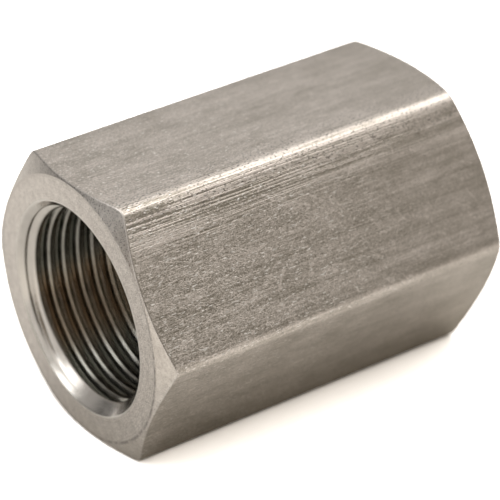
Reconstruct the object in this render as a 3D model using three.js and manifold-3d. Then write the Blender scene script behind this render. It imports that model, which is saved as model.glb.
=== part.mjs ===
// A hexagonal pipe coupling: a length of hexagon bar with a pipe thread running right through it.
// Millimetres, +Z up. The bore lies along X, the origin is on its axis at half the length,
// and the coupling stands on one flat of its hexagon, which is its lowest face.
import * as THREE from "three";
import { mergeVertices } from "three/addons/utils/BufferGeometryUtils.js";
import Module from "manifold-3d";

// The bar
const acrossFlats = 22;
const length = 32;
const cornerRadius = 1.2; // drawn hexagon bar has slightly rounded corners
const endFaceDiameter = 21.7; // the turned chamfer leaves this circle on each end face
const chamferAngle = THREE.MathUtils.degToRad(25); // measured from the end face

// The thread: ISO 228 G 3/8, a parallel right-hand Whitworth form with 55 degree flanks
const pitch = 25.4 / 19;
const majorDiameter = 16.662;
const boreDiameter = 15.52; // the hole drilled before threading, which leaves the crests flat
const flankAngle = THREE.MathUtils.degToRad(27.5);
const rootFlat = pitch / 6; // a flat a sixth of the pitch wide stands in for the rounded root
const grooveStart = 0.62; // from the -X face to the groove's middle, where it first crosses +Y

// The mouths
const mouthDiameter = 17.4;
const mouthHalfAngle = THREE.MathUtils.degToRad(42); // the countersink's slope, from the axis

// How finely the round surfaces are divided
const boreSides = 30;
const chamferSides = 72;
const cornerSteps = 4;

const majorRadius = majorDiameter / 2;
const boreRadius = boreDiameter / 2;
const clear = 1; // cutters run this far past the surfaces they cut

const axisX = new THREE.Vector3(1, 0, 0);
const axisY = new THREE.Vector3(0, 1, 0);
const axisZ = new THREE.Vector3(0, 0, 1);

const wasm = await Module();
wasm.setup();

// A closed three.js geometry as a solid that can be cut and joined.
function solidFrom(geometry) {
  const bare = geometry.index ? geometry.toNonIndexed() : geometry.clone();
  bare.deleteAttribute("normal");
  bare.deleteAttribute("uv");
  const merged = mergeVertices(bare);
  const corners = merged.index.array;
  const triangles = [];
  for (let i = 0; i < corners.length; i += 3) {
    const [a, b, c] = corners.slice(i, i + 3);
    if (a !== b && b !== c && c !== a) triangles.push(a, b, c);
  }
  return new wasm.Manifold(
    new wasm.Mesh({
      numProp: 3,
      vertProperties: merged.attributes.position.array,
      triVerts: new Uint32Array(triangles),
    }),
  );
}

// A finished solid as a three.js geometry.
function geometryFrom(solid) {
  const { vertProperties, triVerts } = solid.getMesh();
  const geometry = new THREE.BufferGeometry();
  geometry.setAttribute("position", new THREE.BufferAttribute(vertProperties, 3));
  geometry.setIndex(new THREE.BufferAttribute(triVerts, 1));
  geometry.computeVertexNormals();
  return geometry;
}

// A solid turned about X. The profile lists [distance along X, radius], with X rising.
function turned(profile, sides) {
  const points = profile.map(([along, radius]) => new THREE.Vector2(radius, along));
  const geometry = new THREE.LatheGeometry(points, sides);
  return solidFrom(geometry.applyMatrix4(new THREE.Matrix4().makeBasis(axisZ, axisX, axisY)));
}

// The hexagon bar, with two of its flats level and its corners rounded.
function hexagonBar() {
  const cornerCentre = (acrossFlats / 2 - cornerRadius) / Math.cos(Math.PI / 6);
  const outline = new THREE.Shape();
  for (let corner = 0; corner < 6; corner++) {
    const angle = (corner * Math.PI) / 3;
    const y = cornerCentre * Math.cos(angle);
    const z = cornerCentre * Math.sin(angle);
    outline.absarc(y, z, cornerRadius, angle - Math.PI / 6, angle + Math.PI / 6, false);
  }
  outline.closePath();
  const geometry = new THREE.ExtrudeGeometry(outline, {
    depth: length,
    bevelEnabled: false,
    curveSegments: cornerSteps,
  });
  geometry.translate(0, 0, -length / 2);
  return solidFrom(geometry.applyMatrix4(new THREE.Matrix4().makeBasis(axisY, axisZ, axisX)));
}

// The turned shape that the bar is trimmed to: a cylinder clear of the corners, with a cone at each end.
function chamferedBlank() {
  const radius = acrossFlats / 2 / Math.cos(Math.PI / 6) + clear;
  const faceRadius = endFaceDiameter / 2;
  const coneLength = (radius - faceRadius) * Math.tan(chamferAngle);
  const end = length / 2;
  return turned(
    [
      [-end, 0],
      [-end, faceRadius],
      [-end + coneLength, radius],
      [end - coneLength, radius],
      [end, faceRadius],
      [end, 0],
    ],
    chamferSides,
  );
}

// The drilled hole, opening out in a countersink at each face.
function boreCutter() {
  const slope = Math.tan(mouthHalfAngle);
  const mouthRadius = mouthDiameter / 2;
  const coneLength = (mouthRadius - boreRadius) / slope;
  const end = length / 2;
  return turned(
    [
      [-end - clear, 0],
      [-end - clear, mouthRadius + clear * slope],
      [-end + coneLength, boreRadius],
      [end - coneLength, boreRadius],
      [end + clear, mouthRadius + clear * slope],
      [end + clear, 0],
    ],
    boreSides,
  );
}

// The thread groove. Its section is drawn as [along, radius] and extruded straight, one unit of depth
// for each radian, then every point is wound round the X axis and advanced by the pitch.
function threadCutter() {
  const innerRadius = boreRadius - pitch / 12;
  const rootHalf = rootFlat / 2;
  const mouthHalf = rootHalf + (majorRadius - innerRadius) * Math.tan(flankAngle);
  const section = new THREE.Shape([
    new THREE.Vector2(-mouthHalf, innerRadius),
    new THREE.Vector2(mouthHalf, innerRadius),
    new THREE.Vector2(rootHalf, majorRadius),
    new THREE.Vector2(-rootHalf, majorRadius),
  ]);
  const turns = Math.ceil(length / pitch) + 2;
  const geometry = new THREE.ExtrudeGeometry(section, {
    depth: turns * 2 * Math.PI,
    steps: turns * boreSides,
    bevelEnabled: false,
  });
  const start = -length / 2 + grooveStart - pitch;
  const points = geometry.attributes.position;
  for (let i = 0; i < points.count; i++) {
    const radius = points.getY(i);
    const angle = points.getZ(i);
    const along = start + points.getX(i) + (pitch * angle) / (2 * Math.PI);
    points.setXYZ(i, along, radius * Math.cos(angle), radius * Math.sin(angle));
  }
  return solidFrom(geometry);
}

function couplingBody() {
  const blank = hexagonBar().intersect(chamferedBlank());
  const material = new THREE.MeshStandardMaterial({ color: 0xb3aba1, roughness: 0.35, metalness: 1 });
  const mesh = new THREE.Mesh(geometryFrom(blank.subtract(boreCutter()).subtract(threadCutter())), material);
  mesh.name = "coupling_body";
  return mesh;
}

const coupling = new THREE.Group();
coupling.add(couplingBody());

export default coupling;
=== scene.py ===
"""Looks of a hexagonal pipe coupling: drawn bar, turned ends, countersunk mouths and a cut pipe thread.

The finished surface is one fine mesh that stands for the CAD body. Shapes are worked out in millimetres
in the CAD frame, with the bore along X and +Z up, and become metres when the mesh is made.
"""

import math

import bpy
import numpy as np
from mathutils import Matrix, Vector


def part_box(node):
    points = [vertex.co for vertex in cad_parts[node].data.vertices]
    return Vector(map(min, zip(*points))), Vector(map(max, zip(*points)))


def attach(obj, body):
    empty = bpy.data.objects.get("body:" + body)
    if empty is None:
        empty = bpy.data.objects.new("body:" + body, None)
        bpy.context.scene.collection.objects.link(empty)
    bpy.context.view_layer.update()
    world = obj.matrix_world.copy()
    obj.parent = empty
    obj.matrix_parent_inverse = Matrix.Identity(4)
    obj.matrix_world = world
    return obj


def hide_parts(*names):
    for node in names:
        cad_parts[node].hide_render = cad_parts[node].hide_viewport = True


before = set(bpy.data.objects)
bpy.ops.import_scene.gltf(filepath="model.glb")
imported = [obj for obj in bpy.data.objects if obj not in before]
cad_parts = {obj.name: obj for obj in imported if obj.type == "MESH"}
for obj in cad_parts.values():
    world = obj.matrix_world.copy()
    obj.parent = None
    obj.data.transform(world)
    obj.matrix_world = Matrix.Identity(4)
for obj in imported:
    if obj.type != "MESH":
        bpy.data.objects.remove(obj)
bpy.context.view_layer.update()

MM = 0.001
NODE = "coupling_body"

# Overall size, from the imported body
box_low, box_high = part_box(NODE)
END = box_high.x / MM  # half the length
FLAT = box_high.z / MM  # half the size across flats

# Hexagon bar and its turned ends
CORNER_SHARPNESS = 48  # a power: the flats blend into each corner, more tightly the higher it is
FACE_RADIUS = 10.85
CHAMFER_ANGLE = math.radians(25)  # from the end face
FACE_EDGE_ROUND = 0.12
FLAT_EDGE_ROUND = 0.15

# Mouth: a countersink whose rim is rounded over
MOUTH_RADIUS = 8.70
MOUTH_HALF_ANGLE = math.radians(42)  # from the axis
LIP_ROUND = 0.25
LIP_TURN = math.pi / 2 - MOUTH_HALF_ANGLE
LIP_RADIUS = MOUTH_RADIUS + LIP_ROUND * math.tan(LIP_TURN / 2)  # where the flat face begins

# Thread G 3/8: parallel, right-hand, Whitworth form, cut in a hole that leaves its crests flat
PITCH = 25.4 / 19
MAJOR_RADIUS = 16.662 / 2
BORE_RADIUS = 7.76
FLANK = math.radians(27.5)
ROOT_ROUND = 0.137329 * PITCH  # the Whitworth form's rounded root
APEX_RADIUS = MAJOR_RADIUS - ROOT_ROUND + ROOT_ROUND / math.sin(FLANK)  # where the flanks would meet
GROOVE_START = 0.62  # from the -X face to the groove's middle, where it first crosses +Y
CREST_ROUND = 0.15
LEAST_BLEND = 0.1  # the share of CREST_ROUND that is left where the groove runs out in the countersink

# Material slots of the bar's flats, its turned ends, and the mouths and thread
DRAWN, TURNED, CUT = range(3)

# How finely the mesh is divided
CORNER_REACH = math.radians(5)  # half the angle round a corner that is divided finely
CORNER_STEPS = 14
FLAT_STEPS = 20
LIP_STEPS = 6
CONE_STEPS = 28
CONE_ROWS_END = 1.5  # depth at which rows round the axis give way to rows along the helix
THREAD_SAMPLES = (0, 0.06, 0.122, 0.215, 0.275, 0.306, 0.337, 0.41)  # shares of the pitch from a groove
FACE_RINGS = 5
BAR_RINGS = 14
EDGE_STEPS = 4  # round each edge of the end face's outer chamfer
MOST_OF_SIDE = 0.45  # the share of a profile's side that the rounding of one of its corners may take

# Directions that the wear and the painted highlight follow
FRONT = (0, -math.cos(math.pi / 6), 0.5)  # the way the most worn flat faces
UPPER_EDGE = (0, -0.5, math.cos(math.pi / 6))  # the way the corner above it faces

# Zones of wear, painted glints and painted highlights on the bar: each is least at the first number and full
# at the second
WORN_X = (12.0, -10.0)
# Where the flats' painted glints are fewest, then most
PAINTED_GLINT_X = (9.0, -2.0)
STREAKED_X = (-6.0, 12.0)
DRAGGED_Z = (7.2, 9.4)  # deep drawn lines, at the top of the front flat only
DRAGGED_Y = (-5.0, -5.6)
# Pits and a painted highlight along the upper corner, as distances towards UPPER_EDGE
PITTED_AND_HIGHLIT_EDGE = (11.3, 12.1)  # towards UPPER_EDGE
# Heights over which the painted highlight along the upper corner comes in
PAINTED_HIGHLIGHT_Z = (9.5, 10.6)
# A painted highlight along the corner at the front
EDGE_HIGHLIGHT_Y = (-12.36, -12.48)  # the corner at the front

# Zones of the turned ends and the bore, and of the thread's painted shade and painted brown reflection, in
# the same way
ROUGH_FACE_Y = (4.0, -9.0)
BURR_RADIUS = FACE_RADIUS - 0.08
BURR_WIDTH = (0.03, 0.2)  # off BURR_RADIUS: where it is full, then where it has ended
PLAIN_BURR_Z = (1.0, 6.0)  # the burr is plain to see below, and faint above
CHAMFER_BEGINS = (FACE_RADIUS, FACE_RADIUS + 0.1)
CONE_ENDS = (MOUTH_RADIUS + 0.03, MOUTH_RADIUS + 0.15)  # as the radius at which the cone would meet the face
# Depths over which the thread's painted shade comes in
THREAD_SHADE_DEPTH = (1.05, 1.45)
# Radii over which the roots' painted shade comes in
ROOT_RADIUS = (8.0, 8.28)
# Heights of the band of painted brown reflection in the thread
BROWN_BAND_TOP_Z = (-0.5, -2.5)
BROWN_BAND_FOOT_Z = (-7.0, -5.5)

# Steel colours, darkest and brightest of each surface, then the marks, painted glints, painted highlights,
# painted shade and painted reflections laid on it
DRAWN_DARK = (0.33, 0.30, 0.25, 1)
DRAWN_BRIGHT = (0.82, 0.755, 0.70, 1)
# Painted glint: the colour of the small bright flecks on the flats
PAINTED_GLINT = (1.0, 0.97, 0.93, 1)
# Painted highlight: the colour of the corner at the front
EDGE_HIGHLIGHT = (1.0, 0.90, 0.82, 1)
PIT = (0.22, 0.20, 0.18, 1)
TURNED_DARK = (0.46, 0.42, 0.385, 1)
TURNED_BRIGHT = (0.80, 0.75, 0.695, 1)
BURR = (0.28, 0.25, 0.23, 1)
CLEAN_DARK = (0.58, 0.545, 0.50, 1)
CLEAN_BRIGHT = (0.74, 0.70, 0.65, 1)
# Painted shade in the thread, darkest and brightest
SHADED_THREAD_DARK = (0.30, 0.29, 0.25, 1)
SHADED_THREAD_BRIGHT = (0.54, 0.525, 0.48, 1)
# Painted brown reflection on the thread
BROWN_REFLECTION = (0.40, 0.30, 0.20, 1)
# Painted shade in the thread's roots
ROOT_SHADE = (0.20, 0.20, 0.165, 1)
# Painted brown reflection in the thread's roots
ROOT_BROWN_REFLECTION = (0.33, 0.23, 0.14, 1)

# Floor, in metres, and its colours as the coupling's reflections meet them: pale, with a painted shadow,
# painted shade and a painted pool of light
FLOOR = box_low.z
FLOOR_HALF = 1.2
FLOOR_PALE = (0.84, 0.83, 0.81, 1)
# Painted shade far behind the coupling
FLOOR_FAR_SHADE = (0.45, 0.45, 0.45, 1)
# A painted pool of light to the coupling's left
FLOOR_LEFT_LIGHT = (0.95, 0.93, 0.89, 1)
# Painted shadow under and in front of the coupling
FLOOR_SHADED = (0.40, 0.37, 0.29, 1)
FLOOR_SEEN = (3.0, 3.0, 3.0, 1)  # what the camera sees of it: white, with a faint shadow

# Zones of the floor, in millimetres: each is least at the first number and full at the second
SHADED_FRONT_Y = (-13, -7)
SHADED_BACK_Y = (16, 2)
SHADED_LEFT_X = (-21, -12)
LEFT_PATCH_X = (-22, -32)
LEFT_PATCH_Y = (8, -4)
FAR_Y = (90, 170)

# Brown card to the left, in metres
CARD_X = -58 * MM
CARD_Y = (1 * MM, 17 * MM)
CARD_Z = (FLOOR + 1 * MM, 8 * MM)
CARD_COLOUR = (0.13, 0.09, 0.05, 1)

# The room that the coupling reflects
ROOM_FRONT = (0.225, 0.20, 0.17, 1)
ROOM_BACK = (0.42, 0.41, 0.40, 1)
CEILING = (0.9, 0.88, 0.85, 1)
LEFT_WALL = (0.85, 0.83, 0.80, 1)
DARK_WALL = (0.08, 0.078, 0.075, 1)
BACKDROP = (1, 1, 1, 1)  # what the camera sees of it

# Softboxes: direction, angles in degrees at which each is full and has ended, colour
SOFTBOXES = (
    ((0.05, 0.15, 0.98), 18, 34, (1.75, 1.72, 1.68, 1)),
    ((0.48, -0.12, 0.86), 17, 34, (2.3, 2.22, 2.12, 1)),
    ((-0.80, 0.34, 0.50), 6, 17, (3.4, 3.4, 3.4, 1)),
)

# The camera stands in front of the coupling's near end, a little above it and turned slightly.
VIEW_AZIMUTH = math.radians(-33.71)
VIEW_ELEVATION = math.radians(29.40)
VIEW_ROLL = math.radians(-2.50)
VIEW_DISTANCE = 247.76 * MM
VIEW_LENS = 227.06
SENSOR_WIDTH = 36
AIM_RIGHT = 0.086 * MM
AIM_UP = -0.392 * MM
FOCUS = (-12 * MM, -10 * MM, 5 * MM)
FOCUS_STOP = 58


# ---------------------------------------------------------------- shape

def hexagon_radius(angle):
    """Distance from the axis to the hexagon, whose softened corners are at 0, 60, 120 degrees and so on."""
    facing = [max(math.cos(angle - math.radians(normal)), 0) for normal in range(30, 390, 60)]
    return FLAT / sum(f**CORNER_SHARPNESS for f in facing) ** (1 / CORNER_SHARPNESS)


def column_angles():
    """Angles round the axis, close together at the six corners."""
    angles = []
    sector = math.pi / 3
    flat_width = sector - 2 * CORNER_REACH
    for corner in range(6):
        middle = corner * sector
        angles += [middle + CORNER_REACH * (2 * i / CORNER_STEPS - 1) for i in range(CORNER_STEPS)]
        angles += [middle + CORNER_REACH + flat_width * i / FLAT_STEPS for i in range(FLAT_STEPS)]
    return np.array(angles)


def rounded_corner(before, corner, after, radius):
    """Points of an arc that replaces a corner of a profile, kept inside the middle of its two sides."""
    before, corner, after = np.array(before), np.array(corner), np.array(after)
    to_before, to_after = before - corner, after - corner
    length_before, length_after = np.linalg.norm(to_before), np.linalg.norm(to_after)
    a, b = to_before / length_before, to_after / length_after
    half = math.acos(np.clip(a @ b, -1, 1)) / 2
    reach = min(radius / math.tan(half), MOST_OF_SIDE * length_before, MOST_OF_SIDE * length_after)
    middle = (a + b) / np.linalg.norm(a + b)
    centre = corner + middle * reach / math.cos(half)
    start, end = corner + a * reach - centre, corner + b * reach - centre
    sweep = math.pi - 2 * half
    shares = [i / EDGE_STEPS for i in range(EDGE_STEPS + 1)]
    return [
        centre + (start * math.sin((1 - t) * sweep) + end * math.sin(t * sweep)) / math.sin(sweep)
        for t in shares
    ]


def outside_profile(angle):
    """[depth, radius] from the lip of one mouth out across the face and chamfer and on to the bar's flat."""
    bar = hexagon_radius(angle)
    chamfer_depth = (bar - FACE_RADIUS) * math.tan(CHAMFER_ANGLE)
    lip = (0, LIP_RADIUS)
    face_edge = (0, FACE_RADIUS)
    bar_edge = (chamfer_depth, bar)
    half_way = (END, bar)
    edge_arc = rounded_corner(lip, face_edge, bar_edge, FACE_EDGE_ROUND)
    bar_arc = rounded_corner(face_edge, bar_edge, half_way, FLAT_EDGE_ROUND)
    face_width = edge_arc[0][1] - LIP_RADIUS
    rings = [np.array((0, LIP_RADIUS + face_width * i / FACE_RINGS)) for i in range(FACE_RINGS)]
    return rings + edge_arc + bar_arc


def bore_radius(depth):
    """Radius of the plain bore at a depth from its face: rounded lip, countersink, then the drilled hole."""
    cone = MOUTH_RADIUS - depth * math.tan(MOUTH_HALF_ANGLE)
    inside_lip = np.clip(LIP_ROUND - depth, 0, LIP_ROUND)
    lip = LIP_RADIUS - np.sqrt(LIP_ROUND**2 - inside_lip**2)
    lip_depth = LIP_ROUND * (1 - math.cos(LIP_TURN))
    return np.maximum(np.where(depth < lip_depth, lip, cone), BORE_RADIUS)


def groove_radius(along):
    """Radius of the thread's groove at a distance along X from the middle of any of its turns."""
    off = np.abs((along / PITCH + 0.5) % 1 - 0.5) * PITCH
    flank = APEX_RADIUS - off / math.tan(FLANK)
    rounded = MAJOR_RADIUS - ROOT_ROUND + np.sqrt(np.clip(ROOT_ROUND**2 - off**2, 0, None))
    return np.where(off < ROOT_ROUND * math.cos(FLANK), rounded, flank)


def wall_radius(x, angle):
    """Radius of the finished inside wall: the bore or the groove, whichever is wider, with softened edges."""
    bore = bore_radius(END - np.abs(x))
    groove = groove_radius(x + END - GROOVE_START - PITCH * angle / (2 * math.pi))
    groove_depth = (MAJOR_RADIUS - bore) / (MAJOR_RADIUS - BORE_RADIUS)
    blend = CREST_ROUND * np.clip(groove_depth, LEAST_BLEND, 1)
    return (bore + groove + np.sqrt((bore - groove) ** 2 + blend**2)) / 2


class Skin:
    """Collects the vertices and faces of the coupling's surface, in millimetres."""

    def __init__(self):
        self.points = []
        self.faces = []
        self.slots = []
        self.count = 0

    def add(self, x, radius, angle):
        """Adds a row of vertices and returns their numbers."""
        row = np.stack([x + 0 * angle, radius * np.cos(angle), radius * np.sin(angle)], axis=-1)
        self.points.append(row)
        numbers = np.arange(self.count, self.count + len(row))
        self.count += len(row)
        return numbers

    def face(self, corners, slot):
        """Adds a face, leaving out repeated corners and faces with no area."""
        kept = []
        for corner in corners:
            if corner not in kept:
                kept.append(int(corner))
        if len(kept) > 2:
            self.faces.append(kept)
            self.slots.append(slot)

    def band(self, one, other, slot):
        """Joins two rows that go round the axis."""
        for j in range(len(one)):
            after = (j + 1) % len(one)
            self.face((one[j], other[j], other[after], one[after]), slot)


def outside(skin, angles):
    """The end faces, chamfers and flats. Returns the rows where the two mouths' lips begin."""
    profiles = np.array([outside_profile(a) for a in angles])
    rows = []
    slots = []
    last = profiles.shape[1]
    for i in range(last):
        rows.append(skin.add(profiles[:, i, 0] - END, profiles[:, i, 1], angles))
        slots.append(TURNED)
    near_edge = profiles[:, -1, 0] - END
    for i in range(1, BAR_RINGS):
        rows.append(skin.add(near_edge * (1 - 2 * i / BAR_RINGS), profiles[:, -1, 1], angles))
        slots.append(DRAWN)
    for i in reversed(range(last)):
        rows.append(skin.add(END - profiles[:, i, 0], profiles[:, i, 1], angles))
        slots.append(TURNED if i < last - 1 else DRAWN)
    for i in range(len(rows) - 1):
        skin.band(rows[i], rows[i + 1], slots[i + 1])
    return rows[0], rows[-1]


def mouth(skin, angles, side, lip_row):
    """One mouth's lip and the outer part of its countersink. Returns the innermost row."""
    turns = [LIP_TURN * i / LIP_STEPS for i in range(1, LIP_STEPS + 1)]
    depths = [LIP_ROUND * (1 - math.cos(t)) for t in turns]
    cone = np.linspace(depths[-1], CONE_ROWS_END, CONE_STEPS + 1)[1:]
    row = lip_row
    for depth in depths + list(cone):
        x = side * (END - depth)
        inner = skin.add(x, wall_radius(np.full_like(angles, x), angles), angles)
        skin.band(*((inner, row) if side < 0 else (row, inner)), CUT)
        row = inner
    return row


def thread(skin, angles, near_row, far_row):
    """The rest of the inside wall, in rows that follow the helix and stop short at the two mouths."""
    shares = sorted([*THREAD_SAMPLES, 0.5, *(1 - share for share in THREAD_SAMPLES[1:])])
    samples = len(shares)
    limit = END - CONE_ROWS_END
    gap = 0.02  # a row nearer than this to the end of its stretch joins it there
    start = GROOVE_START - END - PITCH
    turns = math.ceil(2 * END / PITCH) + 2
    columns = len(angles)
    numbers = np.empty((turns * samples + samples, columns + 1), int)
    for k in range(len(numbers)):
        x = start + PITCH * (k // samples - 1 + shares[k % samples] + angles / (2 * math.pi))
        inside = np.abs(x) < limit - gap
        row = np.where(x < 0, near_row, far_row)
        row[inside] = skin.add(x[inside], wall_radius(x[inside], angles[inside]), angles[inside])
        numbers[k, :columns] = row
    # After the last column a row goes on as the row one pitch further along
    numbers[:-samples, columns] = numbers[samples:, 0]
    for k in range(len(numbers) - samples - 1):
        for j in range(columns):
            skin.face((numbers[k + 1, j], numbers[k, j], numbers[k, j + 1], numbers[k + 1, j + 1]), CUT)


def smooth_normals(points, faces):
    """Vertex normals in which faces count by area, so that flats stay flat beside small roundings."""
    normals = np.zeros_like(points)
    for size in (3, 4):
        chosen = np.array([f for f in faces if len(f) == size])
        if len(chosen) == 0:
            continue
        corner = points[chosen]
        # The diagonals of a four-sided face, or two sides of a triangle
        one = corner[:, 2] - corner[:, 0]
        other = corner[:, -1] - corner[:, 1]
        across = np.cross(one, other)
        for i in range(size):
            np.add.at(normals, chosen[:, i], across)
    return normals / np.linalg.norm(normals, axis=1, keepdims=True)


def coupling_mesh():
    """The whole finished surface as one closed mesh, in metres."""
    skin = Skin()
    angles = column_angles()
    near_lip, far_lip = outside(skin, angles)
    near_row = mouth(skin, angles, -1, near_lip)
    far_row = mouth(skin, angles, 1, far_lip)
    thread(skin, angles, near_row, far_row)
    points = np.concatenate(skin.points)
    mesh = bpy.data.meshes.new("coupling_surface")
    mesh.from_pydata(points * MM, [], skin.faces)
    mesh.polygons.foreach_set("material_index", skin.slots)
    mesh.polygons.foreach_set("use_smooth", [True] * len(skin.faces))
    mesh.normals_split_custom_set_from_vertices(smooth_normals(points, skin.faces))
    mesh.update()
    return mesh


# ---------------------------------------------------------------- materials

class Nodes:
    """Adds shader nodes to a tree, so that a material can be written as a few formulas."""

    def __init__(self, tree):
        tree.nodes.clear()
        self.tree = tree

    def make(self, kind, output=0, inputs=None, **settings):
        """Adds a node and returns one of its outputs. Inputs go by name or number, as values or sockets."""
        node = self.tree.nodes.new(kind)
        for name, value in settings.items():
            setattr(node, name, value)
        for key, value in (inputs or {}).items():
            if isinstance(value, bpy.types.NodeSocket):
                self.tree.links.new(value, node.inputs[key])
            else:
                node.inputs[key].default_value = value
        return node.outputs[output]

    def show(self, shader, kind="ShaderNodeOutputMaterial"):
        """Makes a shader the surface of the material or world."""
        output = self.tree.nodes.new(kind)
        self.tree.links.new(shader, output.inputs["Surface"])

    def place(self):
        """The position on the object, in millimetres."""
        return self.vector("SCALE", self.make("ShaderNodeTexCoord", "Object"), Scale=1 / MM)

    def split(self, vector):
        """The X, Y and Z of a vector."""
        return [self.make("ShaderNodeSeparateXYZ", axis, {0: vector}) for axis in range(3)]

    def math(self, operation, a, b=0.0, c=0.0):
        return self.make("ShaderNodeMath", inputs={0: a, 1: b, 2: c}, operation=operation)

    def times(self, a, b):
        return self.math("MULTIPLY", a, b)

    def plus(self, total, part, share):
        """Adds a share of one value to another."""
        return self.math("MULTIPLY_ADD", part, share, total)

    def vector(self, operation, a, b=(0, 0, 0), **more):
        output = "Value" if operation in ("LENGTH", "DOT_PRODUCT") else "Vector"
        inputs = {0: a, 1: b}
        inputs.update(more)
        return self.make("ShaderNodeVectorMath", output, inputs, operation=operation)

    def combine(self, x, y, z):
        return self.make("ShaderNodeCombineXYZ", inputs={0: x, 1: y, 2: z})

    def noise(self, at, scale, detail=2.0, roughness=0.5, distortion=0.0):
        inputs = {"Vector": at, "Scale": scale, "Detail": detail}
        inputs.update({"Roughness": roughness, "Distortion": distortion})
        return self.make("ShaderNodeTexNoise", "Fac", inputs)

    def mottle(self, at, scale, detail=2.0, roughness=0.5):
        """A noise that swings between -0.5 and 0.5."""
        return self.between(self.noise(at, scale, detail, roughness), 0.3, 0.7, -0.5, 0.5)

    def between(self, value, low, high, to_low=0.0, to_high=1.0):
        """Maps value from low..high to to_low..to_high, held at both ends."""
        inputs = {"Value": value, "From Min": low, "From Max": high, "To Min": to_low, "To Max": to_high}
        return self.make("ShaderNodeMapRange", 0, inputs)

    def mix(self, share, one, other):
        """Blends two colours."""
        return self.make("ShaderNodeMix", 2, {0: share, 6: one, 7: other}, data_type="RGBA")

    def bump(self, height, distance):
        return self.make("ShaderNodeBump", 0, {"Height": height, "Distance": distance})


def new_material(name):
    """An empty node material and the writer of its nodes."""
    material = bpy.data.materials.new(name)
    material.use_nodes = True
    return material, Nodes(material.node_tree)


def steel(name, look):
    """A metal material. look(nodes, place) gives its Principled inputs, from the place in millimetres."""
    material, nodes = new_material(name)
    inputs = {"Metallic": 1.0}
    inputs.update(look(nodes, nodes.place()))
    nodes.show(nodes.make("ShaderNodeBsdfPrincipled", 0, inputs))
    return material


def stretched(nodes, place, along):
    """The place with its X squeezed, so that a noise is drawn out into lines along the bar."""
    return nodes.vector("MULTIPLY", place, (along, 1, 1))


def hairlines(nodes, at, scale, width, distortion=0.0):
    """Thin lines that wander along the contours of a noise: 1 on a line, 0 away from it."""
    wave = nodes.noise(at, scale, 0.0, 0.5, distortion)
    off = nodes.math("ABSOLUTE", nodes.math("SUBTRACT", wave, 0.5))
    return nodes.between(off, 0.0, width, 1.0, 0.0)


def scratches(nodes, place, turn, amount):
    """Short straight scratches at an angle to the bar's length, broken up by a coarser noise."""
    inputs = {"Vector": place, "Axis": FRONT, "Angle": math.radians(turn)}
    turned = nodes.make("ShaderNodeVectorRotate", 0, inputs)
    lines = hairlines(nodes, stretched(nodes, turned, 0.12), 2.3, 0.018)
    gaps = nodes.noise(nodes.vector("ADD", turned, (turn, 0, 0)), 1.9, 0.0)
    return nodes.times(lines, nodes.between(gaps, 0.62 - amount, 0.68 - amount))


def handling_marks(nodes, place):
    """Fine curls and scratches in several directions: 1 on a mark."""
    curls = hairlines(nodes, place, 2.2, 0.02, 2.0)
    marks = nodes.times(curls, nodes.between(nodes.noise(place, 2.1), 0.52, 0.6))
    for turn, amount in ((28, 0.1), (-17, 0.12), (62, 0.06), (-50, 0.06)):
        marks = nodes.math("MAXIMUM", marks, scratches(nodes, place, turn, amount))
    return marks


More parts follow.
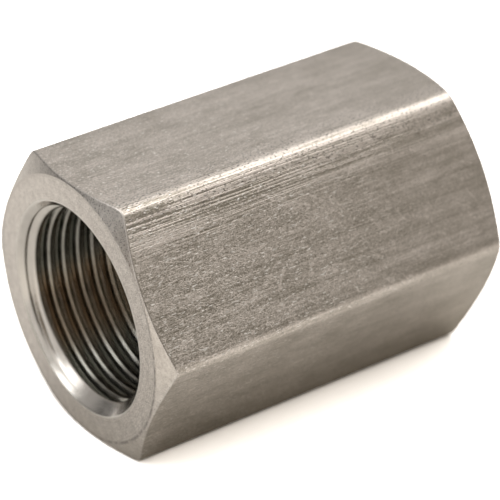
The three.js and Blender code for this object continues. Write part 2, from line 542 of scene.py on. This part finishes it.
def drawn_look(nodes, place):
    """The bar's flats: matt drawn steel with lines along its length, fine grain and small handling marks,
    with painted glints and painted highlights along two corners.
    """
    normal = nodes.make("ShaderNodeNewGeometry", "Normal")
    x, y, z = nodes.split(place)

    # Noises: three widths of line, then grain, patches and small spots
    fine = nodes.mottle(stretched(nodes, place, 0.03), 9.0, 1.0)
    broad = nodes.mottle(stretched(nodes, place, 0.015), 1.6, 2.0)
    drawn = nodes.between(nodes.noise(stretched(nodes, place, 0.01), 10.0, 0.0), 0.4, 0.6, -0.5, 0.5)
    grain = nodes.mottle(stretched(nodes, place, 0.6), 13.0, 1.0, 0.6)
    patches = nodes.mottle(stretched(nodes, place, 0.5), 0.6, 4.0, 0.7)
    # Painted glints: small bright flecks
    painted_glints = nodes.between(nodes.noise(stretched(nodes, place, 0.3), 9.0, 0.0), 0.69, 0.78)
    pits = nodes.between(nodes.noise(stretched(nodes, place, 0.6), 9.0, 0.0), 0.37, 0.27)
    marks = handling_marks(nodes, place)

    # The front is more worn than the other flats, and its near end more than its far end
    front = nodes.between(nodes.vector("DOT_PRODUCT", normal, FRONT), 0.55, 1.0)
    open_side = nodes.between(nodes.vector("DOT_PRODUCT", normal, UPPER_EDGE), 0.1, 0.8, 0.35, 0.7)
    near = nodes.between(x, *WORN_X, 0.4, 1.05)
    wear = nodes.times(near, nodes.plus(open_side, front, 0.3))

    # Deep drawn lines run along the top of the front flat, and the edge above it is pitted and carries a
    # painted highlight
    drag = nodes.times(nodes.between(z, *DRAGGED_Z), nodes.between(y, *DRAGGED_Y))
    edge = nodes.between(nodes.vector("DOT_PRODUCT", place, UPPER_EDGE), *PITTED_AND_HIGHLIT_EDGE, 0.35, 1.0)
    lines = nodes.times(broad, nodes.between(x, *STREAKED_X, 0.3, 0.65))
    lines = nodes.plus(lines, fine, 0.5)
    lines = nodes.plus(lines, nodes.times(drawn, drag), 1.2)

    tone = nodes.plus(lines, grain, 0.9)
    tone = nodes.plus(tone, marks, 0.8)
    tone = nodes.times(tone, wear)
    tone = nodes.plus(tone, patches, 0.4)
    # A painted highlight: the tone is lighter along the upper corner
    tone = nodes.plus(tone, edge, nodes.between(z, *PAINTED_HIGHLIGHT_Z, 0.0, 0.2))

    # Colour, then the spots: painted glints on the worn near part, a painted highlight along the front
    # corner, and pits at the edge
    colour = nodes.mix(nodes.math("ADD", tone, 0.47), DRAWN_DARK, DRAWN_BRIGHT)
    painted_glints = nodes.times(painted_glints, nodes.between(x, *PAINTED_GLINT_X, 0.3, 1.6))
    colour = nodes.mix(nodes.times(painted_glints, wear), colour, PAINTED_GLINT)
    # A painted highlight along the front corner
    painted_edge_highlight = nodes.times(nodes.between(y, *EDGE_HIGHLIGHT_Y), nodes.between(broad, -0.4, 0.2, 0.0, 0.2))
    colour = nodes.mix(painted_edge_highlight, colour, EDGE_HIGHLIGHT)
    colour = nodes.mix(nodes.times(pits, edge), colour, PIT)

    height = nodes.plus(nodes.plus(lines, grain, 0.2), marks, 0.4)
    return {
        "Base Color": colour,
        "Roughness": nodes.between(grain, -0.5, 0.5, 0.34, 0.44),
        "Anisotropic": 0.3,
        "Tangent": nodes.vector("CROSS_PRODUCT", normal, (1, 0, 0)),
        "Normal": nodes.bump(nodes.times(height, wear), 0.012 * MM),
    }


def turned_look(nodes, place):
    """The faced ends and chamfers: fine rings round the axis under a mottled, lightly pitted surface."""
    _, y, z = nodes.split(place)
    across = nodes.vector("MULTIPLY", place, (0, 1, 1))
    radius = nodes.vector("LENGTH", across)

    def on_chamfer(value):
        """1 on the flat face, turning to another value on the chamfers."""
        return nodes.between(radius, *CHAMFER_BEGINS, 1.0, value)

    rings = nodes.mottle(nodes.combine(radius, 0.0, 0.0), 4.0, 2.0, 0.6)
    grain = nodes.mottle(place, 9.0, 1.0, 0.6)
    patches = nodes.mottle(place, 1.8, 3.0, 0.75)
    pits = nodes.between(nodes.noise(place, 4.2, 1.0), 0.64, 0.72)
    wear = nodes.between(y, *ROUGH_FACE_Y, 0.6, 1.5)
    tone = nodes.plus(nodes.times(grain, 0.75), rings, 0.35)
    tone = nodes.plus(tone, pits, -0.5)
    tone = nodes.times(tone, on_chamfer(0.25))
    tone = nodes.math("ADD", nodes.times(tone, wear), nodes.times(patches, 0.55))

    # A thin broken burr line just inside the chamfers, fainter towards the top
    off_burr = nodes.math("ABSOLUTE", nodes.math("SUBTRACT", radius, BURR_RADIUS))
    burr = nodes.times(nodes.between(off_burr, *BURR_WIDTH, 0.9, 0.0), nodes.between(patches, -0.25, 0.15))
    burr = nodes.times(burr, nodes.between(z, *PLAIN_BURR_Z, 1.0, 0.35))

    colour = nodes.mix(nodes.math("ADD", tone, 0.5), TURNED_DARK, TURNED_BRIGHT)
    return {
        "Base Color": nodes.mix(burr, colour, BURR),
        "Roughness": nodes.times(nodes.between(grain, -0.5, 0.5, 0.30, 0.42), on_chamfer(0.85)),
        "Anisotropic": 0.4,
        "Tangent": across,
        "Normal": nodes.bump(nodes.times(nodes.times(tone, wear), on_chamfer(0.35)), 0.014 * MM),
    }


def cut_look(nodes, place):
    """The countersink is clean cut metal. The thread below it carries painted shade, darkest in its roots,
    and a painted brown reflection low on the wall.
    """
    x, _, z = nodes.split(place)
    radius = nodes.vector("LENGTH", nodes.vector("MULTIPLY", place, (0, 1, 1)))
    depth = nodes.math("SUBTRACT", END, nodes.math("ABSOLUTE", x))
    smear = nodes.noise(place, 1.2, 2.0)

    # Painted shade begins below the countersink's cone and past the groove's run-out
    past_cone = nodes.plus(radius, depth, math.tan(MOUTH_HALF_ANGLE))
    in_thread = nodes.between(past_cone, *CONE_ENDS)
    in_thread = nodes.times(in_thread, nodes.between(depth, *THREAD_SHADE_DEPTH, 0.1, 1.0))

    # Painted shade in the roots, and a painted brown reflection in a band low on the wall
    brown_band = nodes.times(nodes.between(z, *BROWN_BAND_TOP_Z), nodes.between(z, *BROWN_BAND_FOOT_Z))
    root_shade_and_reflection = nodes.mix(brown_band, ROOT_SHADE, ROOT_BROWN_REFLECTION)
    thread_shade_and_reflection = nodes.mix(smear, SHADED_THREAD_DARK, SHADED_THREAD_BRIGHT)
    thread_shade_and_reflection = nodes.mix(nodes.times(brown_band, 0.6), thread_shade_and_reflection, BROWN_REFLECTION)
    thread_shade_and_reflection = nodes.mix(nodes.between(radius, *ROOT_RADIUS), thread_shade_and_reflection, root_shade_and_reflection)

    tool_marks = nodes.noise(nodes.combine(x, radius, 0.0), 9.0, 2.0, 0.6)
    return {
        "Base Color": nodes.mix(in_thread, nodes.mix(smear, CLEAN_DARK, CLEAN_BRIGHT), thread_shade_and_reflection),
        "Roughness": nodes.between(smear, 0.3, 0.7, 0.14, 0.24),
        "Normal": nodes.bump(tool_marks, 0.004 * MM),
    }


# ---------------------------------------------------------------- studio

def shown_instead(nodes, colour, seen_colour):
    """A colour that lights and reflections meet, and another for the camera."""
    seen = nodes.make("ShaderNodeLightPath", "Is Camera Ray")
    return nodes.mix(seen, colour, seen_colour)


def panel(name, corners, material):
    """A staging piece with four corners."""
    mesh = bpy.data.meshes.new(name)
    mesh.from_pydata(corners, [], [(0, 1, 2, 3)])
    mesh.materials.append(material)
    piece = bpy.data.objects.new(name, mesh)
    bpy.context.scene.collection.objects.link(piece)
    return piece


def floor_colour(nodes):
    """Pale, with a painted shadow under and in front of the coupling, painted shade far behind it and a
    painted pool of light to its left.
    """
    x, y, _ = nodes.split(nodes.place())
    under = nodes.times(nodes.between(y, *SHADED_FRONT_Y, 0.06, 0.58), nodes.between(y, *SHADED_BACK_Y))
    under = nodes.times(under, nodes.between(x, *SHADED_LEFT_X))
    left = nodes.times(nodes.between(x, *LEFT_PATCH_X), nodes.between(y, *LEFT_PATCH_Y))
    colour = nodes.mix(nodes.between(y, *FAR_Y), FLOOR_PALE, FLOOR_FAR_SHADE)
    colour = nodes.mix(left, colour, FLOOR_LEFT_LIGHT)
    return nodes.mix(under, colour, FLOOR_SHADED)


def floor():
    """The floor under the coupling, matt."""
    material, nodes = new_material("pale_floor")
    colour = shown_instead(nodes, floor_colour(nodes), FLOOR_SEEN)
    nodes.show(nodes.make("ShaderNodeBsdfDiffuse", 0, {"Color": colour}))
    signs = ((-1, -1), (1, -1), (1, 1), (-1, 1))
    panel("floor", [(x * FLOOR_HALF, y * FLOOR_HALF, FLOOR) for x, y in signs], material)


def card():
    """A small brown card to the left, out of sight, which the thread's flanks reflect."""
    material, nodes = new_material("brown_card")
    nodes.show(nodes.make("ShaderNodeBsdfDiffuse", 0, {"Color": CARD_COLOUR}))
    (near, far), (low, high) = CARD_Y, CARD_Z
    corners = [(CARD_X, near, low), (CARD_X, far, low), (CARD_X, far, high), (CARD_X, near, high)]
    panel("card", corners, material).visible_camera = False


def room_colour(nodes):
    """A dim warm room with a paler ceiling, a light left wall, a dark patch behind and the softboxes.

    It is worked out from the direction of view, whose X, Y and Z run from -1 to 1.
    """
    direction = nodes.make("ShaderNodeTexCoord", "Generated")
    x, y, z = nodes.split(direction)
    room = nodes.mix(nodes.between(y, -0.9, 0.8), ROOM_FRONT, ROOM_BACK)
    room = nodes.mix(nodes.between(z, 0.5, 1.0), room, CEILING)
    left = nodes.times(nodes.between(x, -0.6, -0.9), nodes.between(y, 0.3, 0.0))
    room = nodes.mix(left, room, LEFT_WALL)
    behind = nodes.times(nodes.between(x, 0.1, -0.4), nodes.between(y, 0.15, 0.35))
    behind = nodes.times(behind, nodes.between(z, 0.42, 0.25))
    room = nodes.mix(behind, room, DARK_WALL)
    for toward, full, ended, colour in SOFTBOXES:
        facing = nodes.vector("DOT_PRODUCT", direction, tuple(Vector(toward).normalized()))
        share = nodes.between(facing, math.cos(math.radians(ended)), math.cos(math.radians(full)))
        room = nodes.mix(share, room, colour)
    return room


def surroundings():
    """The light: a white backdrop for the camera, and a room for everything else."""
    world = bpy.data.worlds.new("studio")
    world.use_nodes = True
    nodes = Nodes(world.node_tree)
    colour = shown_instead(nodes, room_colour(nodes), BACKDROP)
    nodes.show(nodes.make("ShaderNodeBackground", 0, {"Color": colour}), "ShaderNodeOutputWorld")
    bpy.context.scene.world = world


def focus_point():
    """An empty on the near part of the front flat, which the camera keeps sharp."""
    point = bpy.data.objects.new("focus", None)
    point.location = FOCUS
    bpy.context.scene.collection.objects.link(point)
    return point


def camera():
    """A long lens, placed by its direction and distance from the coupling's middle."""
    data = bpy.data.cameras.new("camera")
    data.lens = VIEW_LENS
    data.sensor_width = SENSOR_WIDTH
    data.clip_start = 0.01
    data.dof.use_dof = True
    data.dof.focus_object = focus_point()
    data.dof.aperture_fstop = FOCUS_STOP
    holder = bpy.data.objects.new("camera", data)
    back = Vector((
        math.sin(VIEW_AZIMUTH) * math.cos(VIEW_ELEVATION),
        -math.cos(VIEW_AZIMUTH) * math.cos(VIEW_ELEVATION),
        math.sin(VIEW_ELEVATION),
    ))
    level = (-back).cross(Vector((0, 0, 1))).normalized()
    upright = back.cross(level)
    right = math.cos(VIEW_ROLL) * level + math.sin(VIEW_ROLL) * upright
    up = back.cross(right)
    aim = AIM_RIGHT * right + AIM_UP * up
    turn = Matrix((right, up, back)).transposed().to_4x4()
    holder.matrix_world = Matrix.Translation(aim + back * VIEW_DISTANCE) @ turn
    bpy.context.scene.collection.objects.link(holder)
    bpy.context.scene.camera = holder


def coupling():
    """The finished coupling, which stands for the CAD body. Its materials are in the order of the slots."""
    mesh = coupling_mesh()
    mesh.materials.append(steel("drawn_flats", drawn_look))
    mesh.materials.append(steel("turned_ends", turned_look))
    mesh.materials.append(steel("cut_bore", cut_look))
    piece = bpy.data.objects.new("coupling_finish", mesh)
    bpy.context.scene.collection.objects.link(piece)
    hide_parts(NODE)
    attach(piece, "root")


coupling()
floor()
card()
surroundings()
camera()
bpy.context.scene.view_settings.view_transform = "Standard"
bpy.context.scene.view_settings.look = "None"
